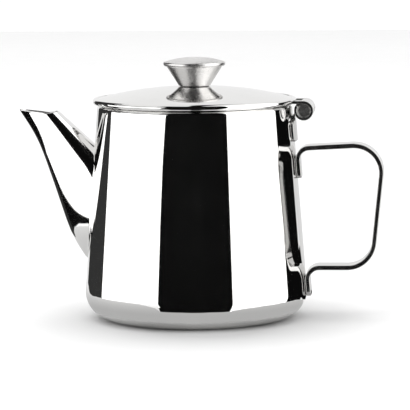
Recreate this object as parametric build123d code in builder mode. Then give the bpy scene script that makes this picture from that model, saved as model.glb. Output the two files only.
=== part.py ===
from build123d import *
import os
from math import atan, cos, sin, sqrt, radians, tan

# A small hinged-lid stainless steel teapot, millimetres, +Z up.
# The origin is on the pot's axis at the plane it stands on.
# The spout points to -X, the handle and the lid hinge are on +X.

os.makedirs("parts", exist_ok=True)

# ---------------------------------------------------------------- driving dimensions
sheet = 0.8                 # drawn sheet of pot, spout and lid

# pot: a cone that narrows upwards
pot_r0 = 54.08              # cone radius continued down to the standing plane
pot_taper = 0.0757          # radius lost per millimetre of height
pot_top = 102.3             # ledge that the lid rests over
pot_corner = 13.0           # big rounded bottom corner
pot_shoulder = 1.8          # tight shoulder under the lid
mouth_r = 41.9
base_recess = 1.2           # the middle of the base is pressed up
recess_r = 34.5
foot_r = 37.0               # inner edge of the flat ring that the pot stands on

# lid: shallow dome with a rolled bead
lid_bottom = 102.5
lid_r = 48.5
dome_r = 46.2               # where the dome meets the bead
dome_edge = 105.15
dome_apex = 110.9
lip_r = 42.0                # inner edge of the turned-in lip
lid_sheet = 0.8
lip_t = 0.7

# hinge
hinge_x = 52.4
hinge_z = 99.7
knuckle_r = 4.6
strap_t = 1.4
bore_r = 3.2
pin_r = 3.15
hinge_w = 21.0              # whole barrel
centre_half = 4.6           # half length of the pot's middle knuckle
gap_half = 4.9              # half length of the opening between the lid's knuckles
pin_len = 19.4
bracket_z0 = 84.9
bracket_z1 = 94.9
bracket_w = 20.0

# handle: flat strip bent to a C
strip_w = 12.5
strip_t = 2.2
strip_edge = 0.4

# knob
knob_r = 14.75
knob_base_z = 110.93
knob_waist_r = 6.9

# strainer holes behind the spout
hole_r = 1.25
hole_pitch_y = 4.4
hole_pitch_z = 4.6


def pot_r(z, out=0.0):
    return pot_r0 - pot_taper * z + out / cos(atan(pot_taper))


def pot_profile(t):
    """Corner points and radii of the pot's profile, moved inwards by t."""
    slope = (base_recess) / (foot_r - recess_r)
    k = t * tan(atan(slope) / 2)
    pts = [
        (0, base_recess + t),
        (recess_r + k, base_recess + t),
        (foot_r + k, t),
        (pot_r(t, -t), t),
        (pot_r(pot_top - t, -t), pot_top - t),
        (mouth_r, pot_top - t),
    ]
    radii = [2.0 - t, 1.0 + t, pot_corner - t, pot_shoulder - t]
    return pts, radii


# ---------------------------------------------------------------- pot
outer_pts, outer_radii = pot_profile(0.0)
inner_pts, inner_radii = pot_profile(sheet)

with BuildPart() as body:
    with BuildSketch(Plane.XZ):
        with BuildLine():
            FilletPolyline(*outer_pts, radius=outer_radii)
            Line(outer_pts[-1], inner_pts[-1])
            FilletPolyline(*inner_pts, radius=inner_radii)
            Line(inner_pts[0], outer_pts[0])
        make_face()
    revolve(axis=Axis.Z)
    # strainer: staggered rows of holes through the wall behind the spout
    for row in range(9):
        count = 5 if row % 2 == 0 else 4
        with Locations(Plane.YZ.offset(-58.0).shift_origin((-58.0, 0, 37.5 + row * hole_pitch_z))):
            with GridLocations(hole_pitch_y, 1.0, count, 1):
                Cylinder(hole_r, 22.0, align=(Align.CENTER, Align.CENTER, Align.MIN), mode=Mode.SUBTRACT)

# the solid space that the pot takes up, for trimming what is welded to it
with BuildPart() as pot_space:
    with BuildSketch(Plane.XZ):
        with BuildLine():
            FilletPolyline(*outer_pts, radius=outer_radii)
            Polyline((mouth_r, pot_top), (0, pot_top), (0, base_recess))
        make_face()
    revolve(axis=Axis.Z)

# ---------------------------------------------------------------- spout
# a cone about a leaning axis, egg-shaped in section with the wide side towards the pot
spout_top = (-75.5, 99.3)            # where its axis meets the mouth, x and z
spout_lean = 57.3                    # degrees above the horizontal
spout_egg = 0.3                      # how far the widest point lies towards the pot, as a share of the half height
# distance down the axis, half height in the side view, half width, shift towards the top line
spout_stations = [
    (-9.0, 6.3, 3.7, -0.75),
    (0.0, 7.05, 4.3, -0.05),
    (8.0, 8.2, 5.5, 0.88),
    (16.0, 9.8, 7.0, 1.4),
    (24.0, 11.75, 8.6, 1.55),
    (36.0, 14.8, 11.0, 1.6),
    (48.0, 18.0, 13.1, 1.65),
    (60.0, 20.7, 14.4, 1.9),
    (72.0, 22.4, 14.6, 3.3),
]


def spout_plane(s, shift):
    a = radians(spout_lean)
    down = (cos(a), -sin(a))
    side = (sin(a), cos(a))
    x = spout_top[0] + down[0] * s + side[0] * shift
    z = spout_top[1] + down[1] * s + side[1] * shift
    return Plane(origin=(x, 0, z), x_dir=(side[0], 0, side[1]), z_dir=(-down[0], 0, -down[1]))


def spout_ring(a, b):
    """Points of the egg-shaped section, for a closed spline."""
    turn = [radians(15 * k) for k in range(24)]
    return [(a * (cos(w) + spout_egg * sin(w) ** 2), b * sin(w)) for w in turn]


with BuildPart() as spout_bore:
    for s, a, b, shift in spout_stations:
        with BuildSketch(spout_plane(s - (0.5 if s < 0 else 0.0), shift)):
            with BuildLine():
                Spline(*spout_ring(a - sheet, b - sheet), periodic=True)
            make_face()
    loft()

with BuildPart() as spout:
    for s, a, b, shift in spout_stations:
        with BuildSketch(spout_plane(s, shift)):
            with BuildLine():
                Spline(*spout_ring(a, b), periodic=True)
            make_face()
    loft()
    add(spout_bore.part, mode=Mode.SUBTRACT)
    # the mouth is cut almost level, with a slight dip before the back lip
    with BuildSketch(Plane.XZ):
        with BuildLine():
            Polyline((-100, 102.0), (-84.2, 100.0), (-70.0, 98.3), (-67.4, 98.8), (-50, 98.9), (-50, 130), (-100, 130), close=True)
        make_face()
    extrude(amount=40, both=True, mode=Mode.SUBTRACT)
    # trimmed to the pot's wall
    add(pot_space.part, mode=Mode.SUBTRACT)

# ---------------------------------------------------------------- handle
foot_sink = 0.15


def foot_x(z):
    return pot_r(z) + strip_t / 2 - foot_sink


handle_pts = [
    (foot_x(67.2), 67.2),
    (foot_x(81.35), 81.35),
    (90.3, 83.4),
    (84.1, 24.45),
    (foot_x(24.4), 24.4),
    (foot_x(10.8), 10.8),
]
handle_radii = [5.5, 13.0, 13.0, 5.5]

with BuildPart() as handle:
    with BuildLine(Plane.XZ) as handle_path:
        FilletPolyline(*handle_pts, radius=handle_radii)
    with BuildSketch(Plane(origin=handle_path.line @ 0, z_dir=handle_path.line % 0, x_dir=(0, 1, 0))):
        RectangleRounded(strip_w, strip_t, strip_edge)
    sweep(path=handle_path.line)
    add(pot_space.part, mode=Mode.SUBTRACT)

# ---------------------------------------------------------------- hinge bracket on the pot
with BuildPart() as hinge_bracket:
    # plate that follows the pot's wall
    with BuildSketch(Plane.XZ):
        with BuildLine():
            Polyline(
                (pot_r(bracket_z0, 0.01), bracket_z0),
                (pot_r(bracket_z0, 0.01 + strap_t), bracket_z0),
                (pot_r(98.4, 0.01 + strap_t), 98.4),
                (pot_r(98.4, 0.01), 98.4),
                close=True,
            )
        make_face()
    revolve(axis=Axis.Z, revolution_arc=360)
    with BuildSketch(Plane.YZ.offset(30)):
        with Locations((0, (bracket_z0 + bracket_z1) / 2)):
            RectangleRounded(bracket_w, bracket_z1 - bracket_z0, 2.8)
        with Locations((0, 92.0)):
            Rectangle(2 * centre_half, 13.0)
    extrude(amount=30, mode=Mode.INTERSECT)
    # middle knuckle, rolled out of the same strip
    with BuildSketch(Plane.XZ.offset(-centre_half)):
        with Locations((hinge_x, hinge_z)):
            Circle(knuckle_r)
        with BuildLine():
            Polyline(
                (hinge_x - knuckle_r, hinge_z),
                (pot_r(97.6, 0.01), 97.6),
                (pot_r(96.4, 0.01), 96.4),
                (pot_r(96.4, 0.01 + strap_t), 96.4),
                (hinge_x - knuckle_r + strap_t, 98.0),
                (hinge_x - knuckle_r + strap_t + 0.5, hinge_z),
                close=True,
            )
        make_face()
    extrude(amount=2 * centre_half)
    with BuildSketch(Plane.XZ.offset(-20)):
        with Locations((hinge_x, hinge_z)):
            Circle(bore_r)
    extrude(amount=40, mode=Mode.SUBTRACT)
    add(pot_space.part, mode=Mode.SUBTRACT)

with BuildPart() as hinge_pin:
    with BuildSketch(Plane.XZ.offset(-pin_len / 2)):
        with Locations((hinge_x, hinge_z)):
            Circle(pin_r)
    extrude(amount=pin_len)
    chamfer(hinge_pin.edges().filter_by(GeomType.CIRCLE), 0.35)

# ---------------------------------------------------------------- lid
dome_sag = dome_apex - dome_edge
dome_radius = (dome_r**2 + dome_sag**2) / (2 * dome_sag)
dome_centre_z = dome_apex - dome_radius


def sphere_z(radius, r):
    return dome_centre_z + sqrt(radius**2 - r**2)


under_r = dome_radius - lid_sheet
strap_slot = 10.8
slot_top = 104.42

with BuildPart() as lid:
    with BuildSketch(Plane.XZ):
        with BuildLine():
            RadiusArc((0, dome_apex), (dome_r, dome_edge), dome_radius)
            ThreePointArc((dome_r, dome_edge), (47.75, 105.3), (lid_r, 104.0))
            ThreePointArc((lid_r, 104.0), (48.1, 102.95), (47.2, lid_bottom))
            Polyline((47.2, lid_bottom), (lip_r, lid_bottom), (lip_r, lid_bottom + lip_t), (46.9, lid_bottom + lip_t))
            ThreePointArc((46.9, lid_bottom + lip_t), (47.5, 103.42), (47.75, 103.95))
            ThreePointArc((47.75, 103.95), (47.3, 104.55), (46.1, sphere_z(under_r, 46.1)))
            RadiusArc((0, dome_apex - lid_sheet), (46.1, sphere_z(under_r, 46.1)), under_r)
            Line((0, dome_apex), (0, dome_apex - lid_sheet))
        make_face()
    revolve(axis=Axis.Z)
    # hole for the knob's screw
    with BuildSketch(Plane.XY.offset(100)):
        Circle(2.2)
    extrude(amount=20, mode=Mode.SUBTRACT)
    # lip and lower bead are cut away where the hinge strap leaves
    with BuildSketch(Plane.XY.offset(100)):
        with Locations((46, 0)):
            Rectangle(12, 2 * strap_slot)
    extrude(amount=slot_top - 100, mode=Mode.SUBTRACT)

# ---------------------------------------------------------------- hinge strap under the lid
leaf_x0 = 29.0
leaf_top = under_r - 0.02
leaf_low = leaf_top - strap_t
tab_z1 = hinge_z + knuckle_r

with BuildPart() as lid_strap:
    # leaf that follows the underside of the dome
    with BuildSketch(Plane.XZ):
        with BuildLine():
            RadiusArc((20, sphere_z(leaf_top, 20)), (46.0, sphere_z(leaf_top, 46.0)), leaf_top)
            Line((46.0, sphere_z(leaf_top, 46.0)), (46.0, sphere_z(leaf_low, 46.0)))
            RadiusArc((20, sphere_z(leaf_low, 20)), (46.0, sphere_z(leaf_low, 46.0)), leaf_low)
            Line((20, sphere_z(leaf_low, 20)), (20, sphere_z(leaf_top, 20)))
        make_face()
    revolve(axis=Axis.Z)
    with BuildSketch(Plane.XY.offset(95)):
        with Locations((leaf_x0 + 20, 0)):
            RectangleRounded(40, hinge_w, 3.0)
    extrude(amount=25, mode=Mode.INTERSECT)
    # flat tab and the rolled barrel
    with BuildSketch(Plane.XZ.offset(-hinge_w / 2)):
        with Locations((hinge_x, hinge_z)):
            Circle(knuckle_r)
        with BuildLine():
            Polyline(
                (44.6, sphere_z(leaf_top, 46.0)),
                (46.0, min(tab_z1, sphere_z(leaf_top, 46.0))),
                (hinge_x, tab_z1),
                (hinge_x, tab_z1 - strap_t),
                (44.6, tab_z1 - strap_t),
                close=True,
            )
        make_face()
    extrude(amount=hinge_w)
    with BuildSketch(Plane.XZ.offset(-20)):
        with Locations((hinge_x, hinge_z)):
            Circle(bore_r)
    extrude(amount=40, mode=Mode.SUBTRACT)
    # the opening for the pot's knuckle
    with BuildSketch(Plane.XY.offset(90)):
        with Locations((hinge_x, 0)):
            Rectangle(2 * (knuckle_r + 0.6), 2 * gap_half)
    extrude(amount=20, mode=Mode.SUBTRACT)

# ---------------------------------------------------------------- knob
with BuildPart() as knob_cone:
    with BuildSketch(Plane.XZ):
        with BuildLine():
            FilletPolyline((2.2, knob_base_z), (knob_waist_r + 0.45, knob_base_z), (13.35, 120.45), radius=0.9)
            Line((13.35, 120.45), (12.35, 120.45))
            FilletPolyline((12.35, 120.45), (6.85, knob_base_z + 0.9), (2.2, knob_base_z + 0.9), radius=0.5)
            Line((2.2, knob_base_z + 0.9), (2.2, knob_base_z))
        make_face()
    revolve(axis=Axis.Z)

with BuildPart() as knob_cap:
    with BuildSketch(Plane.XZ):
        with BuildLine():
            ThreePointArc((0, 124.6), (7.2, 124.12), (13.9, 122.55))
            ThreePointArc((13.9, 122.55), (14.62, 122.2), (knob_r, 121.6))
            ThreePointArc((knob_r, 121.6), (14.6, 120.95), (14.1, 120.5))
            Polyline((14.1, 120.5), (11.6, 120.5), (11.6, 121.3), (12.9, 121.4))
            ThreePointArc((0, 123.8), (6.9, 123.35), (12.9, 121.4))
            Line((0, 124.6), (0, 123.8))
        make_face()
    revolve(axis=Axis.Z)

with BuildPart() as knob_bush:
    with BuildSketch(Plane.XY.offset(knob_base_z + 0.9)):
        RegularPolygon(5.0, 6)
        Circle(2.0, mode=Mode.SUBTRACT)
    extrude(amount=5.0)

with BuildPart() as knob_washer:
    with BuildSketch(Plane.XY.offset(109.2)):
        Circle(5.5)
        Circle(2.1, mode=Mode.SUBTRACT)
    extrude(amount=0.8)

with BuildPart() as knob_screw:
    with BuildSketch(Plane.XZ):
        with BuildLine():
            Polyline((0, 116.2), (1.55, 116.2), (1.95, 115.8), (1.95, 109.2), (3.7, 109.2), (3.7, 108.3))
            ThreePointArc((3.7, 108.3), (3.35, 107.45), (2.5, 107.1))
            Polyline((2.5, 107.1), (0, 107.1), (0, 116.2))
        make_face()
    revolve(axis=Axis.Z)
    with BuildSketch(Plane.XY.offset(107.0)):
        Rectangle(12, 1.0)
    extrude(amount=1.1, mode=Mode.SUBTRACT)

# ---------------------------------------------------------------- labels and files
pieces = {
    "body": body,
    "spout": spout,
    "handle": handle,
    "hinge_bracket": hinge_bracket,
    "hinge_pin": hinge_pin,
    "lid": lid,
    "lid_strap": lid_strap,
    "knob_cone": knob_cone,
    "knob_cap": knob_cap,
    "knob_bush": knob_bush,
    "knob_washer": knob_washer,
    "knob_screw": knob_screw,
}

body.part.label = "body"
spout.part.label = "spout"
handle.part.label = "handle"
hinge_bracket.part.label = "hinge_bracket"
hinge_pin.part.label = "hinge_pin"
lid.part.label = "lid"
lid_strap.part.label = "lid_strap"
knob_cone.part.label = "knob_cone"
knob_cap.part.label = "knob_cap"
knob_bush.part.label = "knob_bush"
knob_washer.part.label = "knob_washer"
knob_screw.part.label = "knob_screw"

for name, piece in pieces.items():
    export_step(piece.part, f"parts/{name}.step")
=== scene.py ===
import math
from math import atan, cos, radians, sin, sqrt, tan

import bmesh
import bpy
import numpy as np
from mathutils import Matrix, Vector


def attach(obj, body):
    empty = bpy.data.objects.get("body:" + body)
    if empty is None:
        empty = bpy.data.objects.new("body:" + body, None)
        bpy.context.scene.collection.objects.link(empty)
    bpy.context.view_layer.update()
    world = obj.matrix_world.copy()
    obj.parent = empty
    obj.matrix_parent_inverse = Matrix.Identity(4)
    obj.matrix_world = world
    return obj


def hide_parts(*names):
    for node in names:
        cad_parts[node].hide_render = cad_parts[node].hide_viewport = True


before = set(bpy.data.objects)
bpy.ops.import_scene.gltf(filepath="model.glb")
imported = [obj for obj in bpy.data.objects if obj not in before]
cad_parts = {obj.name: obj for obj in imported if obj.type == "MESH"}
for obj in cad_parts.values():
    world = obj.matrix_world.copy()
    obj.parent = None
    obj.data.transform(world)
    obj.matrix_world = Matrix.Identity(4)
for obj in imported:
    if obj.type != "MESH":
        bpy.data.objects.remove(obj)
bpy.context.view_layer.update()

# All shapes below are worked out in millimetres in the CAD frame: origin on the pot's axis at the plane it
# stands on, +Z up, spout to -X, handle and hinge to +X. They become metres when the mesh is made.
MM = 0.001

# ------------------------------------------------------------------------------------------ dimensions
SHEET = 0.8
POT_R0, POT_TAPER, POT_TOP = 54.068, 0.0757, 102.3
POT_CORNER, POT_SHOULDER = 13.0, 1.8
MOUTH_R = 41.9
BASE_RECESS, RECESS_R, FOOT_R = 1.2, 34.5, 37.0
DOME_APEX, DOME_R, DOME_EDGE = 110.9, 46.2, 105.15
HINGE_X, HINGE_Z = 52.4, 99.7
KNUCKLE_R, STRAP_T = 4.6, 1.4
RING_R = KNUCKLE_R - STRAP_T / 2


def pot_r(z, out=0.0):
    return POT_R0 - POT_TAPER * z + out / cos(atan(POT_TAPER))


# ------------------------------------------------------------------------------------------ 2-D curves
def resample(points, step):
    """Adds points so that no piece of the polyline is longer than step."""
    made = [points[0]]
    for a, b in zip(points, points[1:]):
        n = max(1, math.ceil(math.dist(a, b) / step))
        for i in range(1, n + 1):
            t = i / n
            made.append((a[0] + (b[0] - a[0]) * t, a[1] + (b[1] - a[1]) * t))
    return made


def fillet_line(points, radii, step_deg=5.0):
    """A polyline whose inner corners are rounded by the given radii."""
    made = [points[0]]
    for i in range(1, len(points) - 1):
        p0, p, p1, r = Vector(points[i - 1]), Vector(points[i]), Vector(points[i + 1]), radii[i - 1]
        a, b = (p0 - p).normalized(), (p1 - p).normalized()
        half = math.acos(max(-1.0, min(1.0, a.dot(b)))) / 2
        if r <= 0:
            made.append(tuple(p))
            continue
        cut = r / tan(half)
        centre = p + (a + b).normalized() * (r / sin(half))
        s, e = p + a * cut, p + b * cut
        a0 = math.atan2(s.y - centre.y, s.x - centre.x)
        a1 = math.atan2(e.y - centre.y, e.x - centre.x)
        turn = (a1 - a0 + math.pi) % (2 * math.pi) - math.pi
        n = max(2, math.ceil(abs(math.degrees(turn)) / step_deg))
        for k in range(n + 1):
            w = a0 + turn * k / n
            made.append((centre.x + r * cos(w), centre.y + r * sin(w)))
    made.append(points[-1])
    return made


def arc3(p0, p1, p2, n):
    """n + 1 points on the circle through three points, from the first to the last."""
    ax, ay, bx, by, cx, cy = *p0, *p1, *p2
    d = 2 * (ax * (by - cy) + bx * (cy - ay) + cx * (ay - by))
    ux = ((ax**2 + ay**2) * (by - cy) + (bx**2 + by**2) * (cy - ay) + (cx**2 + cy**2) * (ay - by)) / d
    uy = ((ax**2 + ay**2) * (cx - bx) + (bx**2 + by**2) * (ax - cx) + (cx**2 + cy**2) * (bx - ax)) / d
    r = math.hypot(ax - ux, ay - uy)
    a0, am, a1 = (math.atan2(y - uy, x - ux) for x, y in (p0, p1, p2))
    turn = (a1 - a0) % (2 * math.pi)
    if (am - a0) % (2 * math.pi) > turn:
        turn -= 2 * math.pi
    return [(ux + r * cos(a0 + turn * k / n), uy + r * sin(a0 + turn * k / n)) for k in range(n + 1)]


def spline(xs, ys):
    """A smooth curve through the points: a natural cubic spline as a function."""
    xs, ys = np.array(xs, float), np.array(ys, float)
    n, h = len(xs), np.diff(xs)
    m = np.zeros((n, n))
    v = np.zeros(n)
    m[0, 0] = m[-1, -1] = 1.0
    for i in range(1, n - 1):
        m[i, i - 1], m[i, i], m[i, i + 1] = h[i - 1], 2 * (h[i - 1] + h[i]), h[i]
        v[i] = 6 * ((ys[i + 1] - ys[i]) / h[i] - (ys[i] - ys[i - 1]) / h[i - 1])
    k = np.linalg.solve(m, v)

    def value(x):
        i = int(min(max(np.searchsorted(xs, x) - 1, 0), n - 2))
        a, b = xs[i + 1] - x, x - xs[i]
        return float(
            (k[i] * a**3 + k[i + 1] * b**3) / (6 * h[i])
            + (ys[i] / h[i] - k[i] * h[i] / 6) * a
            + (ys[i + 1] / h[i] - k[i + 1] * h[i] / 6) * b
        )

    return value


# ------------------------------------------------------------------------------------------ meshes
def new_object(name, bm):
    bmesh.ops.recalc_face_normals(bm, faces=bm.faces)
    mesh = bpy.data.meshes.new(name)
    bm.to_mesh(mesh)
    bm.free()
    obj = bpy.data.objects.new(name, mesh)
    bpy.context.scene.collection.objects.link(obj)
    return obj


def lathe(name, profile, segments, closed=True, inner_from=None):
    """Turns a profile of (radius, height) points about Z. Faces from profile index inner_from on get material 1."""
    bm = bmesh.new()
    rings = []
    for r, z in profile:
        if r < 1e-6:
            rings.append([bm.verts.new((0, 0, z * MM))])
        else:
            rings.append(
                [
                    bm.verts.new((r * cos(2 * math.pi * k / segments) * MM, r * sin(2 * math.pi * k / segments) * MM, z * MM))
                    for k in range(segments)
                ]
            )
    count = len(rings) if closed else len(rings) - 1
    for i in range(count):
        a, b = rings[i], rings[(i + 1) % len(rings)]
        if len(a) == 1 and len(b) == 1:
            continue
        for k in range(segments):
            q = (k + 1) % segments
            if len(a) == 1:
                f = bm.faces.new((a[0], b[k], b[q]))
            elif len(b) == 1:
                f = bm.faces.new((a[k], b[0], a[q]))
            else:
                f = bm.faces.new((a[k], b[k], b[q], a[q]))
            if inner_from is not None and i >= inner_from:
                f.material_index = 1
    return new_object(name, bm)


def box_cutter(lo, hi):
    bm = bmesh.new()
    bmesh.ops.create_cube(bm, size=1.0)
    size = [(h - l) * MM for l, h in zip(lo, hi)]
    mid = [(h + l) / 2 * MM for l, h in zip(lo, hi)]
    bmesh.ops.scale(bm, vec=size, verts=bm.verts)
    bmesh.ops.translate(bm, vec=mid, verts=bm.verts)
    return new_object("cutter", bm)


def apply_modifiers(obj):
    dg = bpy.context.evaluated_depsgraph_get()
    mesh = bpy.data.meshes.new_from_object(obj.evaluated_get(dg))
    obj.modifiers.clear()
    old = obj.data
    obj.data = mesh
    mesh.name = obj.name
    bpy.data.meshes.remove(old)


def cut(obj, cutter):
    m = obj.modifiers.new("cut", "BOOLEAN")
    m.operation, m.solver, m.object = "DIFFERENCE", "EXACT", cutter
    apply_modifiers(obj)
    bpy.data.objects.remove(cutter)


def smooth(obj, angle=32.0, weighted=False):
    mesh = obj.data
    mesh.polygons.foreach_set("use_smooth", [True] * len(mesh.polygons))
    mesh.set_sharp_from_angle(angle=radians(angle))
    if weighted:
        m = obj.modifiers.new("normals", "WEIGHTED_NORMAL")
        m.keep_sharp, m.weight, m.mode = True, 60, "FACE_AREA_WITH_ANGLE"
        apply_modifiers(obj)


def path_map(points):
    """Arc-length description of a polyline in the XZ plane: u -> point and normal (to the left of the direction)."""
    p = np.array(points, float)
    seg = np.linalg.norm(np.diff(p, axis=0), axis=1)
    keep = np.concatenate([[True], seg > 1e-6])
    p = p[keep]
    seg = np.linalg.norm(np.diff(p, axis=0), axis=1)
    s = np.concatenate([[0], np.cumsum(seg)])
    t = np.zeros_like(p)
    t[1:-1] = (p[2:] - p[1:-1]) / seg[1:, None] + (p[1:-1] - p[:-2]) / seg[:-1, None]
    t[0], t[-1] = p[1] - p[0], p[-1] - p[-2]
    t /= np.linalg.norm(t, axis=1)[:, None]

    def at(u):
        u = min(max(u, 0.0), s[-1])
        i = int(min(max(np.searchsorted(s, u) - 1, 0), len(p) - 2))
        w = (u - s[i]) / (s[i + 1] - s[i])
        q = p[i] * (1 - w) + p[i + 1] * w
        d = t[i] * (1 - w) + t[i + 1] * w
        d = d / np.linalg.norm(d)
        return q, np.array([-d[1], d[0]]), i + w

    return at, float(s[-1]), s


def bent_plate(name, outline, thickness, edge, path, edge_segments=4, sag=None):
    """A flat blank with that outline, (u, y) points along and across the strip, with rounded edges, bent along path."""
    bm = bmesh.new()
    low = [bm.verts.new((u, y, -thickness / 2)) for u, y in outline]
    bm.faces.new(low)
    made = bmesh.ops.extrude_face_region(bm, geom=list(bm.faces))
    top = [v for v in made["geom"] if isinstance(v, bmesh.types.BMVert)]
    bmesh.ops.translate(bm, vec=(0, 0, thickness), verts=top)
    bmesh.ops.recalc_face_normals(bm, faces=bm.faces)
    rims = [e for e in bm.edges if abs(e.verts[0].co.z - e.verts[1].co.z) < 1e-6]
    bmesh.ops.bevel(bm, geom=rims, offset=edge, offset_type="OFFSET", segments=edge_segments, profile=0.5, affect="EDGES", clamp_overlap=True)
    at, length, stations = path_map(path)
    for u in stations[1:-1]:
        geom = list(bm.verts) + list(bm.edges) + list(bm.faces)
        bmesh.ops.bisect_plane(bm, geom=geom, dist=1e-5, plane_co=(float(u), 0, 0), plane_no=(1, 0, 0))
    ys = [y for _, y in outline]
    for k in range(1, 6):
        y = min(ys) + (max(ys) - min(ys)) * k / 6
        geom = list(bm.verts) + list(bm.edges) + list(bm.faces)
        bmesh.ops.bisect_plane(bm, geom=geom, dist=1e-5, plane_co=(0, y, 0), plane_no=(0, 1, 0))
    for v in bm.verts:
        u, y, w = v.co
        q, n, _ = at(u)
        x, z = q[0] + n[0] * w, q[1] + n[1] * w
        if sag:
            dx, dz = sag(u, y)
            x, z = x + dx, z + dz
        v.co = (x * MM, y * MM, z * MM)
    obj = new_object(name, bm)
    smooth(obj, 38.0, weighted=True)
    return obj


def rounded_outline(points, radii):
    """Closed outline with rounded corners."""
    n = len(points)
    made = []
    for i in range(n):
        line = fillet_line([points[i - 1], points[i], points[(i + 1) % n]], [radii[i]], 15.0)
        made += line[1:-1]
    return made


# ------------------------------------------------------------------------------------------ materials
def node_tree(name):
    mat = bpy.data.materials.new(name)
    mat.use_nodes = True
    nt = mat.node_tree
    nt.nodes.clear()
    out = nt.nodes.new("ShaderNodeOutputMaterial")
    bsdf = nt.nodes.new("ShaderNodeBsdfPrincipled")
    nt.links.new(bsdf.outputs[0], out.inputs[0])
    return mat, nt, bsdf


def ramp(nt, source, stops):
    node = nt.nodes.new("ShaderNodeValToRGB")
    els = node.color_ramp.elements
    while len(els) < len(stops):
        els.new(0.5)
    for e, (p, c) in zip(els, stops):
        e.position = p
        e.color = (*c, 1.0) if hasattr(c, "__len__") else (c, c, c, 1.0)
    nt.links.new(source, node.inputs[0])
    return node.outputs[0]


def math_node(nt, op, a, b=None, clamp=False):
    node = nt.nodes.new("ShaderNodeMath")
    node.operation, node.use_clamp = op, clamp
    for i, x in enumerate((a, b)):
        if x is None:
            continue
        if isinstance(x, (int, float)):
            node.inputs[i].default_value = x
        else:
            nt.links.new(x, node.inputs[i])
    return node.outputs[0]


def noise(nt, vector, scale, detail=3.0, rough=0.55, distortion=0.0):
    node = nt.nodes.new("ShaderNodeTexNoise")
    node.inputs["Scale"].default_value = scale
    node.inputs["Detail"].default_value = detail
    node.inputs["Roughness"].default_value = rough
    node.inputs["Distortion"].default_value = distortion
    nt.links.new(vector, node.inputs["Vector"])
    return node.outputs["Fac"]


def coordinates(nt):
    return nt.nodes.new("ShaderNodeTexCoord").outputs["Object"]


def scaled(nt, vector, scale):
    node = nt.nodes.new("ShaderNodeMapping")
    node.inputs["Scale"].default_value = scale
    nt.links.new(vector, node.inputs["Vector"])
    return node.outputs[0]


def turned(nt, vector, around, across):
    """Coordinates whose x runs slowly round the Z axis and whose y and z run across the turning marks."""
    sep = nt.nodes.new("ShaderNodeSeparateXYZ")
    nt.links.new(vector, sep.inputs[0])
    x, y, z = sep.outputs
    angle = math_node(nt, "ARCTAN2", y, x)
    radius = math_node(nt, "SQRT", math_node(nt, "ADD", math_node(nt, "MULTIPLY", x, x), math_node(nt, "MULTIPLY", y, y)))
    com = nt.nodes.new("ShaderNodeCombineXYZ")
    nt.links.new(math_node(nt, "MULTIPLY", angle, around), com.inputs[0])
    nt.links.new(math_node(nt, "MULTIPLY", radius, across), com.inputs[1])
    nt.links.new(math_node(nt, "MULTIPLY", z, across), com.inputs[2])
    return com.outputs[0]


def bump(nt, height, strength, distance, normal=None):
    node = nt.nodes.new("ShaderNodeBump")
    node.inputs["Strength"].default_value = strength
    node.inputs["Distance"].default_value = distance
    nt.links.new(height, node.inputs["Height"])
    if normal is not None:
        nt.links.new(normal, node.inputs["Normal"])
    return node.outputs[0]


def steel(name, light, dark, rough, marks, mark_scale, mark_depth, ripple=0.0, turned_marks=True, anisotropic=0.0, rotation=None):
    """Stainless steel: base colour between two tones, roughness between two values in soft smudges,
    and polishing marks that run round the axis or along the strip."""
    mat, nt, bsdf = node_tree(name)
    co = coordinates(nt)
    bsdf.inputs["Metallic"].default_value = 1.0
    cloud = noise(nt, co, 38.0, 4.0, 0.6, 0.4)
    nt.links.new(ramp(nt, cloud, [(0.30, dark), (0.70, light)]), bsdf.inputs["Base Color"])
    # smudges, mixed with the polishing marks
    smudge = noise(nt, co, 95.0, 5.0, 0.62, 0.8)
    if turned_marks:
        line_co = turned(nt, co, marks[0], marks[1])
    else:
        line_co = scaled(nt, co, marks)
    lines = noise(nt, line_co, mark_scale, 3.0, 0.7)
    mixed = math_node(nt, "ADD", math_node(nt, "MULTIPLY", smudge, 0.65), math_node(nt, "MULTIPLY", lines, 0.35))
    nt.links.new(ramp(nt, mixed, [(0.36, rough[0]), (0.66, rough[1])]), bsdf.inputs["Roughness"])
    normal = None
    if ripple:
        normal = bump(nt, noise(nt, co, 30.0, 2.0, 0.45), ripple, 0.001)
    normal = bump(nt, lines, mark_depth, 0.00005, normal)
    nt.links.new(normal, bsdf.inputs["Normal"])
    if anisotropic:
        bsdf.inputs["Anisotropic"].default_value = anisotropic
        tangent = nt.nodes.new("ShaderNodeTangent")
        tangent.direction_type, tangent.axis = "RADIAL", "Z"
        nt.links.new(tangent.outputs[0], bsdf.inputs["Tangent"])
    return mat


mirror = steel("polished_steel_outer", (0.90, 0.895, 0.885), (0.865, 0.86, 0.85), (0.018, 0.045), (6.0, 1500.0), 1.0, 0.05)
lid_mirror = steel("polished_steel_lid", (0.89, 0.885, 0.875), (0.85, 0.845, 0.835), (0.035, 0.075), (9.0, 1800.0), 1.0, 0.08)
inner_satin = steel("satin_inside", (0.70, 0.69, 0.675), (0.62, 0.61, 0.595), (0.20, 0.34), (5.0, 2600.0), 1.0, 0.35)
spout_mirror = steel("polished_steel_spout", (0.89, 0.885, 0.875), (0.85, 0.845, 0.835), (0.03, 0.065), (700.0, 110.0, 700.0), 1.0, 0.06, turned_marks=False)
strip_mirror = steel("polished_strip", (0.66, 0.655, 0.645), (0.61, 0.605, 0.595), (0.07, 0.16), (160.0, 1500.0, 160.0), 1.0, 0.16, turned_marks=False)
knob_satin = steel("satin_turned", (0.78, 0.77, 0.76), (0.69, 0.68, 0.67), (0.20, 0.32), (4.0, 5200.0), 1.0, 0.5, anisotropic=0.55)
hardware = steel("hardware_steel", (0.72, 0.71, 0.70), (0.62, 0.61, 0.60), (0.16, 0.30), (1200.0, 1200.0, 1200.0), 1.0, 0.3, turned_marks=False)


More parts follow.
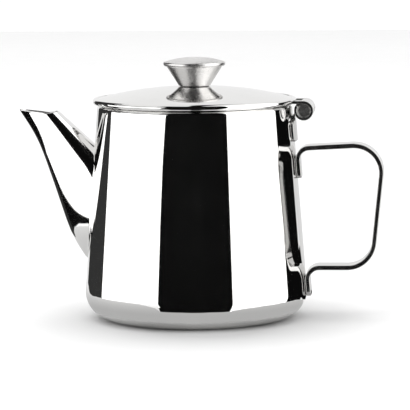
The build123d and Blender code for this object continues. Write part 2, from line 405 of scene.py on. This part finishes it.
def finish_piece(obj, body, node, slot, *materials):
    obj.data.materials.clear()
    for m in materials:
        obj.data.materials.append(m)
    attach(obj, body)
    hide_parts(node)
    return obj


# ------------------------------------------------------------------------------------------ pot
def pot_profile(t):
    slope = BASE_RECESS / (FOOT_R - RECESS_R)
    k = t * tan(atan(slope) / 2)
    pts = [
        (0, BASE_RECESS + t),
        (RECESS_R + k, BASE_RECESS + t),
        (FOOT_R + k, t),
        (pot_r(t, -t), t),
        (pot_r(POT_TOP - t, -t), POT_TOP - t),
        (MOUTH_R, POT_TOP - t),
    ]
    return pts, [2.0 - t, 1.0 + t, POT_CORNER - t, POT_SHOULDER - t]


def pot_shape():
    outer = fillet_line(*pot_profile(0.0), step_deg=4.0)
    inner = fillet_line(*pot_profile(SHEET), step_deg=5.0)
    edge_r = SHEET / 2
    outer[-1] = (MOUTH_R + edge_r, POT_TOP)
    inner[-1] = (MOUTH_R + edge_r, POT_TOP - SHEET)
    lip = arc3((MOUTH_R + edge_r, POT_TOP), (MOUTH_R, POT_TOP - edge_r), (MOUTH_R + edge_r, POT_TOP - SHEET), 8)[1:-1]
    outer = resample(outer, 1.6)
    inner = resample(inner, 2.0)
    profile = outer + lip + inner[::-1]
    return profile, len(outer) + 2


profile, first_inner = pot_shape()
pot = lathe("pot_body", profile, 288, closed=False, inner_from=first_inner)
holes = bmesh.new()
for row in range(9):
    count = 5 if row % 2 == 0 else 4
    for k in range(count):
        y = (k - (count - 1) / 2) * 4.4
        z = 37.5 + row * 4.6
        m = Matrix.Translation(((-47.0) * MM, y * MM, z * MM)) @ Matrix.Rotation(radians(90), 4, "Y")
        bmesh.ops.create_cone(holes, cap_ends=True, segments=28, radius1=1.25 * MM, radius2=1.25 * MM, depth=22 * MM, matrix=m)
cut(pot, new_object("holes", holes))
smooth(pot, 35.0)
finish_piece(pot, "pot", "body", "polished_steel", mirror, inner_satin)

# ------------------------------------------------------------------------------------------ spout
STATIONS = [
    (-9.0, 6.3, 3.7, -0.75),
    (0.0, 7.05, 4.3, -0.05),
    (8.0, 8.2, 5.5, 0.88),
    (16.0, 9.8, 7.0, 1.4),
    (24.0, 11.75, 8.6, 1.55),
    (36.0, 14.8, 11.0, 1.6),
    (48.0, 18.0, 13.1, 1.65),
    (60.0, 20.7, 14.4, 1.9),
    (72.0, 22.4, 14.6, 3.3),
]
LEAN, EGG = radians(57.3), 0.3
SP_M, SP_DOWN, SP_SIDE = (-75.5, 99.3), (cos(LEAN), -sin(LEAN)), (sin(LEAN), cos(LEAN))
sp_a, sp_b, sp_c = (spline([q[0] for q in STATIONS], [q[i] for q in STATIONS]) for i in (1, 2, 3))


def spout_point(s, w, t=0.0):
    a, b, c = sp_a(s) - t, sp_b(s) - t, sp_c(s)
    along = c + a * (cos(w) + EGG * sin(w) ** 2)
    return np.array([SP_M[0] + SP_DOWN[0] * s + SP_SIDE[0] * along, b * sin(w), SP_M[1] + SP_DOWN[1] * s + SP_SIDE[1] * along])


def mouth_height(x):
    xs, zs = [-100, -84.2, -70.0, -67.4, -50], [102.0, 100.0, 98.3, 98.8, 98.9]
    return float(np.mean([np.interp(x + d, xs, zs) for d in (-0.9, -0.45, 0, 0.45, 0.9)]))


def solve(f, lo, hi):
    for _ in range(50):
        mid = (lo + hi) / 2
        if f(mid) > 0:
            lo = mid
        else:
            hi = mid
    return (lo + hi) / 2


def above_cut(p):
    return p[2] - mouth_height(p[0])


def outside_pot(p, out=0.0):
    return math.hypot(p[0], p[1]) - pot_r(p[2], out)


def spout_mesh():
    around, rows, rim_n, weld = 144, 84, 8, 0.55
    half = SHEET / 2
    rings = [[] for _ in range(rows + 1 + rim_n - 1 + rows + 1)]
    for k in range(around):
        w = 2 * math.pi * k / around
        top = solve(lambda s: above_cut(spout_point(s, w, half)), -9.0, 20.0) + half
        bottom = solve(lambda s: outside_pot(spout_point(s, w), -0.06), 15.0, 72.0)
        inner_bottom = solve(lambda s: outside_pot(spout_point(s, w, SHEET), -0.06), 15.0, 72.0)
        col = []
        for j in range(rows + 1):
            t = j / rows
            s = bottom + (top - bottom) * (1 - (1 - t) ** 1.0)
            if j and bottom - s < 2.2:  # does nothing: the rows stay evenly spaced near the weld
                pass
            p = spout_point(s, w)
            col.append(p)
        # outward direction of the wall
        mid = spout_point(top, w, half)
        out = spout_point(top, w, 0.0) - mid
        out /= np.linalg.norm(out)
        up = spout_point(top - 0.5, w, half) - spout_point(top, w, half)
        up -= out * (up @ out)
        up /= np.linalg.norm(up)
        for j in range(1, rim_n):
            a = math.pi * j / rim_n
            col.append(mid + half * (cos(a) * out + sin(a) * up))
        for j in range(rows + 1):
            t = j / rows
            s = top + (inner_bottom - top) * t
            col.append(spout_point(s, w, SHEET))
        # polished weld: the outer wall flares a little where it meets the pot
        arc = np.linalg.norm(col[1] - col[0])
        for j in range(0, 6):
            d = arc * j
            if d < weld:
                p = col[j]
                n = spout_point(bottom - 0.2, w, -1.0) - spout_point(bottom - 0.2, w, 0.0)
                n /= np.linalg.norm(n)
                p = p + n * (weld - sqrt(max(0.0, weld**2 - (weld - d) ** 2)))
                if j == 0:
                    r = math.hypot(p[0], p[1])
                    f = (pot_r(p[2]) - 0.08) / r
                    p = np.array([p[0] * f, p[1] * f, p[2]])
                col[j] = p
        for j, p in enumerate(col):
            rings[j].append(p)
    bm = bmesh.new()
    vs = [[bm.verts.new(tuple(float(c) * MM for c in p)) for p in ring] for ring in rings]
    n = len(vs)
    for j in range(n):
        a, b = vs[j], vs[(j + 1) % n]
        for k in range(around):
            q = (k + 1) % around
            f = bm.faces.new((a[k], b[k], b[q], a[q]))
            if rows + rim_n <= j < n - 1:
                f.material_index = 1
    return new_object("pouring_spout", bm)


spout = spout_mesh()
smooth(spout, 50.0)
finish_piece(spout, "pot", "spout", "polished_steel", spout_mirror, inner_satin)

# ------------------------------------------------------------------------------------------ handle
STRIP_W, STRIP_T, FOOT_SINK = 12.5, 2.2, 0.15


def foot_x(z):
    return pot_r(z) + STRIP_T / 2 - FOOT_SINK


handle_line = fillet_line(
    [
        (foot_x(67.2), 67.2),
        (foot_x(81.35), 81.35),
        (90.3, 83.4),
        (84.1, 24.45),
        (foot_x(24.4), 24.4),
        (foot_x(10.8), 10.8),
    ],
    [5.5, 13.0, 13.0, 5.5],
    4.0,
)
handle_line = resample(handle_line, 2.5)
handle_len = path_map(handle_line)[1]
outline = rounded_outline(
    [(0, -STRIP_W / 2), (handle_len, -STRIP_W / 2), (handle_len, STRIP_W / 2), (0, STRIP_W / 2)], [2.2] * 4
)
handle = bent_plate("handle_strip", outline, STRIP_T, 0.4, handle_line, 4)
finish_piece(handle, "pot", "handle", "polished_strip", strip_mirror)

# ------------------------------------------------------------------------------------------ hinge bracket on the pot
CENTRE_HALF, BRACKET_Z0, BRACKET_Z1, BRACKET_W = 4.6, 84.9, 94.9, 20.0


def circle_points(cx, cz, r, a0, a1, step=6.0):
    n = max(2, math.ceil(abs(a1 - a0) / step))
    return [(cx + r * cos(radians(a0 + (a1 - a0) * k / n)), cz + r * sin(radians(a0 + (a1 - a0) * k / n))) for k in range(n + 1)]


wall_x0 = pot_r(BRACKET_Z0, 0.03 + STRAP_T / 2)
bracket_line = (
    resample([(wall_x0, BRACKET_Z0), (pot_r(96.4, 0.03 + STRAP_T / 2), 96.4), (HINGE_X - RING_R, 98.6)], 1.2)
    + circle_points(HINGE_X, HINGE_Z, RING_R, 180, -120)
)
_, bracket_len, _ = path_map(bracket_line)
plate_u = BRACKET_Z1 - BRACKET_Z0
outline = rounded_outline(
    [
        (0, -BRACKET_W / 2),
        (plate_u, -BRACKET_W / 2),
        (plate_u, -CENTRE_HALF),
        (bracket_len, -CENTRE_HALF),
        (bracket_len, CENTRE_HALF),
        (plate_u, CENTRE_HALF),
        (plate_u, BRACKET_W / 2),
        (0, BRACKET_W / 2),
    ],
    [2.8, 2.8, 0.9, 0.4, 0.4, 0.9, 2.8, 2.8],
)


def bracket_sag(u, y):
    z = BRACKET_Z0 + u
    k = 1.0 if z < BRACKET_Z1 else max(0.0, 1.0 - (z - BRACKET_Z1) / 3.2)
    r = pot_r(min(z, 98.0)) + 0.7
    return -k * (r - sqrt(r * r - y * y)), 0.0


bracket = bent_plate("hinge_bracket_strap", outline, STRAP_T, 0.3, bracket_line, 3, sag=bracket_sag)
finish_piece(bracket, "pot", "hinge_bracket", "polished_strip", strip_mirror)

# ------------------------------------------------------------------------------------------ hinge pin
PIN_R, PIN_HALF = 3.15, 9.7
pin_profile = (
    [(0, -PIN_HALF), (1.7, -PIN_HALF + 0.01), (2.5, -PIN_HALF + 0.09)]
    + arc3((2.7, -PIN_HALF + 0.14), (3.02, -PIN_HALF + 0.3), (PIN_R, -PIN_HALF + 0.6), 5)
)
pin_profile = pin_profile + [(r, -z) for r, z in pin_profile[::-1]]
pin = lathe("hinge_pin_rod", resample(pin_profile, 2.0), 64, closed=False)
pin.data.transform(Matrix.Translation((HINGE_X * MM, 0, HINGE_Z * MM)) @ Matrix.Rotation(radians(90), 4, "X"))
smooth(pin, 40.0)
finish_piece(pin, "pot", "hinge_pin", "hardware_steel", hardware)

# ------------------------------------------------------------------------------------------ lid
dome_sag = DOME_APEX - DOME_EDGE
dome_radius = (DOME_R**2 + dome_sag**2) / (2 * dome_sag)
dome_cz = DOME_APEX - dome_radius


def sphere_z(radius, r):
    return dome_cz + sqrt(radius**2 - r**2)


def lid_shape():
    top = [(r, sphere_z(dome_radius, r)) for r in np.linspace(0.0, 45.6, 44)]
    top += [(r, sphere_z(dome_radius, r) - d) for r, d in ((45.85, 0.02), (46.05, 0.07))]
    bead = arc3((46.2, 105.15), (47.75, 105.3), (48.5, 104.0), 18)
    bead[0] = (46.25, 105.02)
    bead += arc3((48.5, 104.0), (48.1, 102.95), (47.2, 102.5), 9)[1:]
    lip = resample([(47.2, 102.5), (42.35, 102.5)], 1.0)[1:]
    lip += arc3((42.35, 102.5), (42.0, 102.85), (42.35, 103.2), 6)[1:]
    lip += resample([(42.35, 103.2), (46.7, 103.2)], 1.0)[1:]
    lip += arc3((46.9, 103.2), (47.5, 103.42), (47.75, 103.95), 6)
    under_r = dome_radius - SHEET
    lip += arc3((47.75, 103.95), (47.3, 104.55), (46.1, sphere_z(under_r, 46.1)), 7)[1:]
    under = [(r, sphere_z(under_r, r)) for r in np.linspace(45.4, 0.0, 36)]
    outer = top + bead
    return outer + lip + under, len(outer)


profile, first_inner = lid_shape()
lid = lathe("lid_dome", profile, 288, closed=False, inner_from=first_inner)
cut(lid, box_cutter((39.0, -10.8, 100.0), (52.5, 10.8, 104.42)))
hole = bmesh.new()
bmesh.ops.create_cone(hole, cap_ends=True, segments=48, radius1=2.2 * MM, radius2=2.2 * MM, depth=6 * MM, matrix=Matrix.Translation((0, 0, 110 * MM)))
cut(lid, new_object("hole", hole))
smooth(lid, 24.0)
finish_piece(lid, "lid", "lid", "polished_steel", lid_mirror, inner_satin)

# ------------------------------------------------------------------------------------------ strap under the lid
HINGE_W, GAP_HALF = 21.0, 4.9
leaf_r = dome_radius - SHEET - 0.03 - STRAP_T / 2
strap_line = [(x, sphere_z(leaf_r, x)) for x in np.linspace(29.0, 45.6, 12)]
strap_line += [(46.6, 103.63), (47.6, HINGE_Z + RING_R), (49.5, HINGE_Z + RING_R)]
strap_line += circle_points(HINGE_X, HINGE_Z, RING_R, 90, -216)
_, strap_len, strap_s = path_map(strap_line)
strap_at = path_map(strap_line)[0]
slot_u = next(u for u in np.linspace(0, strap_len, 2000) if strap_at(u)[0][0] > HINGE_X - KNUCKLE_R - 0.6)
outline = rounded_outline(
    [
        (0, -HINGE_W / 2),
        (strap_len, -HINGE_W / 2),
        (strap_len, -GAP_HALF),
        (slot_u, -GAP_HALF),
        (slot_u, GAP_HALF),
        (strap_len, GAP_HALF),
        (strap_len, HINGE_W / 2),
        (0, HINGE_W / 2),
    ],
    [3.0, 0.35, 0.35, 0.5, 0.5, 0.35, 0.35, 3.0],
)


def strap_sag(u, y):
    x = strap_at(u)[0][0]
    k = 1.0 if u < 14 else max(0.0, 1.0 - (u - 14) / 4.0)
    return 0.0, -k * (leaf_r - sqrt(leaf_r**2 - y * y))


strap = bent_plate("lid_hinge_strap", outline, STRAP_T, 0.28, strap_line, 3, sag=strap_sag)
finish_piece(strap, "lid", "lid_strap", "polished_strip", strip_mirror)

# ------------------------------------------------------------------------------------------ knob
BASE_Z = 110.93
cone_out = fillet_line([(2.25, BASE_Z), (7.35, BASE_Z), (13.35, 120.45)], [0.9], 8.0)
cone_out = resample(cone_out, 0.9)[:-1] + arc3((13.17, 120.17), (13.22, 120.38), (13.05, 120.45), 4)
cone_in = fillet_line([(12.35, 120.45), (6.85, BASE_Z + 0.9), (2.25, BASE_Z + 0.9)], [0.5], 15.0)
cone = lathe("knob_cone_shell", cone_out + resample(cone_in, 1.2), 192, closed=True)
smooth(cone, 40.0)
finish_piece(cone, "lid", "knob_cone", "satin_steel", knob_satin)

cap_profile = arc3((0, 124.6), (7.2, 124.12), (13.9, 122.55), 28)
cap_profile += arc3((13.9, 122.55), (14.62, 122.2), (14.75, 121.6), 8)[1:]
cap_profile += arc3((14.75, 121.6), (14.6, 120.95), (14.1, 120.5), 6)[1:]
cap_profile += [(13.4, 120.5), (12.6, 120.5), (11.75, 120.5), (11.6, 120.6), (11.6, 121.2), (11.7, 121.3), (12.9, 121.4)]
cap_profile += arc3((12.9, 121.4), (6.9, 123.35), (0, 123.8), 16)[1:]
cap = lathe("knob_cap_disc", cap_profile, 192, closed=False)
smooth(cap, 40.0)
finish_piece(cap, "lid", "knob_cap", "satin_steel", knob_satin)

bush_bm = bmesh.new()
bmesh.ops.create_cone(bush_bm, cap_ends=True, segments=6, radius1=5.0 * MM, radius2=5.0 * MM, depth=5.0 * MM, matrix=Matrix.Translation((0, 0, (BASE_Z + 0.9 + 2.5) * MM)))
bmesh.ops.bevel(bush_bm, geom=list(bush_bm.edges), offset=0.35 * MM, offset_type="OFFSET", segments=3, profile=0.5, affect="EDGES", clamp_overlap=True)
bush = new_object("knob_hex_bush", bush_bm)
hole = bmesh.new()
bmesh.ops.create_cone(hole, cap_ends=True, segments=48, radius1=2.0 * MM, radius2=2.0 * MM, depth=8 * MM, matrix=Matrix.Translation((0, 0, (BASE_Z + 0.9 + 2.5) * MM)))
cut(bush, new_object("hole", hole))
smooth(bush, 35.0)
finish_piece(bush, "lid", "knob_bush", "hardware_steel", hardware)

washer_profile = [(2.1, 109.2), (2.1, 110.0), (5.2, 110.0), (5.42, 109.92), (5.5, 109.7), (5.5, 109.45), (5.42, 109.28), (5.25, 109.2)]
washer = lathe("knob_flat_washer", washer_profile, 96, closed=True)
smooth(washer, 40.0)
finish_piece(washer, "lid", "knob_washer", "hardware_steel", hardware)

screw_profile = [(0, 116.2), (1.55, 116.2), (1.95, 115.8)]
z = 115.6
while z > 109.4:  # thread
    screw_profile += [(1.95, z), (1.68, z - 0.18), (1.68, z - 0.26), (1.95, z - 0.44)]
    z -= 0.5
screw_profile += [(1.95, 109.2), (3.55, 109.2), (3.7, 109.05), (3.7, 108.3)]
screw_profile += arc3((3.7, 108.3), (3.35, 107.45), (2.5, 107.1), 8)[1:] + [(1.4, 107.1), (0, 107.1)]
screw = lathe("knob_slotted_screw", screw_profile, 64, closed=False)
cut(screw, box_cutter((-6.0, -0.5, 106.9), (6.0, 0.5, 108.1)))
smooth(screw, 32.0)
finish_piece(screw, "lid", "knob_screw", "hardware_steel", hardware)


# ------------------------------------------------------------------------------------------ studio
CAM_D, CAM_H, CAM_AZ = 1.350, 0.208, radians(5.0)
to_cam = Vector((sin(CAM_AZ), -cos(CAM_AZ), 0))
to_right = Vector((cos(CAM_AZ), sin(CAM_AZ), 0))


def plain(name, colour, rough=0.8, emission=None):
    mat, nt, bsdf = node_tree(name)
    bsdf.inputs["Base Color"].default_value = (*colour, 1.0)
    bsdf.inputs["Roughness"].default_value = rough
    bsdf.inputs["Specular IOR Level"].default_value = 0.0
    if emission is not None:
        bsdf.inputs["Base Color"].default_value = (0, 0, 0, 1)
        bsdf.inputs["Emission Color"].default_value = (*colour, 1.0)
        bsdf.inputs["Emission Strength"].default_value = emission
    return mat


def wall(name, az0, az1, z0, z1, radius, mat):
    """A curved upright panel round the object, between two azimuths from the camera's side, seen only in reflections."""
    bm = bmesh.new()
    n = max(2, math.ceil(abs(az1 - az0) / 4.0))
    cols = []
    for k in range(n + 1):
        a = radians(az0 + (az1 - az0) * k / n)
        d = to_cam * cos(a) + to_right * sin(a)
        cols.append([bm.verts.new((d.x * radius, d.y * radius, h)) for h in (z0, z1)])
    for a, b in zip(cols, cols[1:]):
        bm.faces.new((a[0], b[0], b[1], a[1]))
    obj = new_object(name, bm)
    obj.data.materials.append(mat)
    return only_reflected(obj)


black_card = plain("black_card", (1.0, 1.0, 1.0), emission=0.0035)
dark_card = plain("dark_card", (1.0, 1.0, 1.0), emission=0.035)
soft_white = plain("soft_white", (1.0, 1.0, 1.0), emission=1.75)


def only_reflected(obj):
    """The panels are seen in the steel only: they throw no shadow and don't dim the floor."""
    obj.visible_camera = obj.visible_shadow = obj.visible_diffuse = obj.visible_transmission = False
    return obj


def panel(name, points, mat):
    """A flat polygon through points in millimetres, seen only in reflections."""
    bm = bmesh.new()
    bm.faces.new([bm.verts.new((x * MM, y * MM, z * MM)) for x, y, z in points])
    obj = new_object(name, bm)
    obj.data.materials.append(mat)
    return only_reflected(obj)


def arc_at(r, az0, az1, step=4.0):
    n = max(2, math.ceil(abs(az1 - az0) / step))
    return [(az0 + (az1 - az0) * k / n, r) for k in range(n + 1)]


def sector(name, inner, outer, z, mat):
    """A flat sheet between two polylines of (azimuth from the camera's side, radius in millimetres)."""
    bm = bmesh.new()
    rows = []
    for line in (inner, outer):
        row = []
        for az, r in line:
            d = to_cam * cos(radians(az)) + to_right * sin(radians(az))
            row.append(bm.verts.new((d.x * r * MM, d.y * r * MM, z * MM)))
        rows.append(row)
    for k in range(len(inner) - 1):
        bm.faces.new((rows[0][k], rows[1][k], rows[1][k + 1], rows[0][k + 1]))
    obj = new_object(name, bm)
    obj.data.materials.append(mat)
    return only_reflected(obj)


floor_bm = bmesh.new()
bmesh.ops.create_circle(floor_bm, cap_ends=True, segments=96, radius=9.0)
floor = new_object("studio_floor", floor_bm)
floor_mat, nt, bsdf = node_tree("pale_floor")
bsdf.inputs["Roughness"].default_value = 0.62
bsdf.inputs["Specular IOR Level"].default_value = 0.2
grain = ramp(nt, noise(nt, coordinates(nt), 30.0, 4.0), [(0.3, 0.91), (0.7, 0.925)])
# painted shadow: the floor's colour is greyed round the pot's foot, deepest in front of it
painted_floor_shadow_co = nt.nodes.new("ShaderNodeMapping")
painted_floor_shadow_co.inputs["Location"].default_value = (-0.010, 0.025, 0.0)
painted_floor_shadow_co.inputs["Scale"].default_value = (1.25, 1.0, 1.0)
nt.links.new(coordinates(nt), painted_floor_shadow_co.inputs["Vector"])
length = nt.nodes.new("ShaderNodeVectorMath")
length.operation = "LENGTH"
nt.links.new(painted_floor_shadow_co.outputs[0], length.inputs[0])
far = math_node(nt, "MULTIPLY", length.outputs["Value"], 5.0)
painted_floor_shadow = ramp(nt, far, [(0.06, 0.82), (0.10, 0.76), (0.14, 0.68), (0.185, 0.65), (0.25, 0.75), (0.325, 0.83), (0.40, 0.89), (0.50, 0.96), (0.575, 1.0)])
mix = nt.nodes.new("ShaderNodeMix")
mix.data_type, mix.blend_type = "RGBA", "MULTIPLY"
mix.inputs["Factor"].default_value = 1.0
nt.links.new(grain, mix.inputs["A"])
nt.links.new(painted_floor_shadow, mix.inputs["B"])
nt.links.new(mix.outputs["Result"], bsdf.inputs["Base Color"])
floor.data.materials.append(floor_mat)

# white paper behind the pot, for the camera only
paper_bm = bmesh.new()
paper_bm.faces.new([paper_bm.verts.new((x, 2.6, z)) for x, z in ((-2.9, -0.01), (2.9, -0.01), (2.9, 2.9), (-2.9, 2.9))])
paper = new_object("backdrop_paper", paper_bm)
paper.data.materials.append(plain("backdrop_white", (1.0, 1.0, 1.0), emission=1.06))
paper.visible_glossy = paper.visible_diffuse = paper.visible_shadow = False

# dark opening that the camera looks through; its left edge leans to the right
CARD_Y = -290.0
front_left = [(-182, -5), (-180, 14), (-173, 59), (-163, 93), (-148, 116), (-134, 160), (-126, 240), (-120, 330), (-115, 420), (-110, 520)]
front_right = [(242, -5), (243, 118), (250, 330), (255, 520)]
panel("dark_opening", [(x, CARD_Y, z) for x, z in front_left] + [(x, CARD_Y, z) for x, z in front_right[::-1]], black_card)

panel("dark_ceiling", [(-15, CARD_Y, 520), (75, CARD_Y, 520), (75, 490, 520), (-15, 490, 520)], black_card)

wall("softbox_left", -98, 6, -0.001, 0.60, 2.0, soft_white)
wall("softbox_left_low", -114, -98, -0.001, 0.32, 2.0, soft_white)
wall("dark_low_left", -114, -98, 0.32, 0.60, 2.0, black_card)
wall("dark_above_left", -114, -46, 0.60, 1.15, 2.0, black_card)
wall("dark_front_left", -46, 6, 0.60, 3.6, 2.0, black_card)
wall("softbox_right", 6, 108, -0.001, 3.2, 2.0, soft_white)
wall("flag_left", -156, -114, -0.001, 2.0, 2.0, dark_card)
wall("flag_right", 108, 141, -0.001, 0.70, 2.0, black_card)

# the set's ground is glossy away from the pot, so the steel shows the panels upside down in it
glossy_ground = plain("glossy_ground", (0.98, 0.98, 0.98), 0.0)
glossy_ground.node_tree.nodes["Principled BSDF"].inputs["Metallic"].default_value = 1.0
ground_in = [(-156, 200), (-135, 170), (-114, 128), (-109, 128), (-100, 146), (-80, 160), (-60, 165), (-48, 160), (-36, 140), (-32, 131), (-28.2, 91)]
ground_in += [(-25, 72), (-23, 64.5), (-10, 64.5), (8, 64.5), (22, 64.5), (23.5, 68), (36, 74), (50, 78), (70, 80), (90, 78), (108, 70), (125, 70), (141, 76)]
sector("glossy_ground", ground_in, [(az, 2030.0) for az, _ in ground_in], 0.3, glossy_ground)
sector("ground_rear_right", arc_at(70.0, 106, 141), arc_at(420.0, 106, 141), 0.5, black_card)

# painted light: a glowing grey sheet behind the pot, seen only in reflections, in place of the lit ground there; and
# painted shade on a glowing sheet that fades away from its foot on the left
painted_rear_glow = plain("painted_rear_glow", (1.0, 1.0, 1.0), emission=0.74)
sector("ground_rear", arc_at(62.0, 141, 204), arc_at(2030.0, 141, 204), 0.3, painted_rear_glow)
shade, nt, bsdf = node_tree("shaded_ground")
bsdf.inputs["Base Color"].default_value = (0, 0, 0, 1)
bsdf.inputs["Specular IOR Level"].default_value = 0.0
bsdf.inputs["Emission Strength"].default_value = 1.0
length = nt.nodes.new("ShaderNodeVectorMath")
length.operation = "LENGTH"
nt.links.new(coordinates(nt), length.inputs[0])
# painted shade: the sheet's glow is dimmer near the pot's foot and brightens outwards
painted_shade_fade = ramp(nt, math_node(nt, "MULTIPLY", length.outputs["Value"], 5.0), [(0.29, 0.48), (0.36, 0.56), (0.46, 0.63), (0.58, 0.68), (0.70, 0.76), (0.80, 0.90)])
nt.links.new(painted_shade_fade, bsdf.inputs["Emission Color"])
shade_out = [(-156, 200), (-135, 170), (-114, 128), (-107, 140), (-95, 150), (-80, 150), (-66, 150), (-52, 135), (-42, 110), (-30, 82), (-23.5, 66), (-10, 65), (8, 65), (22, 65), (30, 70), (50, 76), (70, 78), (90, 76), (106, 70)]
sector("ground_shaded", [(az, 50.0) for az, _ in shade_out], shade_out, 0.4, shade)

key = bpy.data.lights.new("overhead", "AREA")
key.shape, key.size, key.energy = "SQUARE", 3.0, 40.0
key_obj = bpy.data.objects.new("overhead", key)
key_obj.location = (-0.3, -0.2, 2.5)
key_obj.visible_glossy = False
bpy.context.scene.collection.objects.link(key_obj)

world = bpy.data.worlds.new("studio")
bpy.context.scene.world = world
world.use_nodes = True
background = world.node_tree.nodes.get("Background") or world.node_tree.nodes.new("ShaderNodeBackground")
background.inputs[0].default_value = (1.0, 1.0, 1.0, 1.0)
background.inputs[1].default_value = 0.9
world_out = world.node_tree.nodes.get("World Output") or world.node_tree.nodes.new("ShaderNodeOutputWorld")
world.node_tree.links.new(background.outputs[0], world_out.inputs[0])

bpy.context.scene.view_settings.view_transform = "Standard"
bpy.context.scene.view_settings.look = "None"

# ------------------------------------------------------------------------------------------ camera
pitch, yaw, roll = radians(6.517), radians(0.19), radians(0.5)
forward_h = -to_cam * cos(yaw) + to_right * sin(yaw)
right = to_right * cos(yaw) + to_cam * sin(yaw)
up = forward_h * sin(pitch) + Vector((0, 0, 1)) * cos(pitch)
forward = forward_h * cos(pitch) - Vector((0, 0, 1)) * sin(pitch)
x_axis = right * cos(roll) - up * sin(roll)
y_axis = right * sin(roll) + up * cos(roll)
camera = bpy.data.objects.new("camera", bpy.data.cameras.new("camera"))
bpy.context.scene.collection.objects.link(camera)
camera.data.lens = 249.55
camera.data.sensor_width = 36.0
camera.data.clip_start, camera.data.clip_end = 0.05, 50.0
place = Matrix.Identity(4)
for i in range(3):
    place[i][0], place[i][1], place[i][2] = x_axis[i], y_axis[i], -forward[i]
location = to_cam * CAM_D + Vector((0, 0, CAM_H))
for i in range(3):
    place[i][3] = location[i]
camera.matrix_world = place
bpy.context.scene.camera = camera

# ------------------------------------------------------------------------------------------ update
bpy.context.view_layer.update()
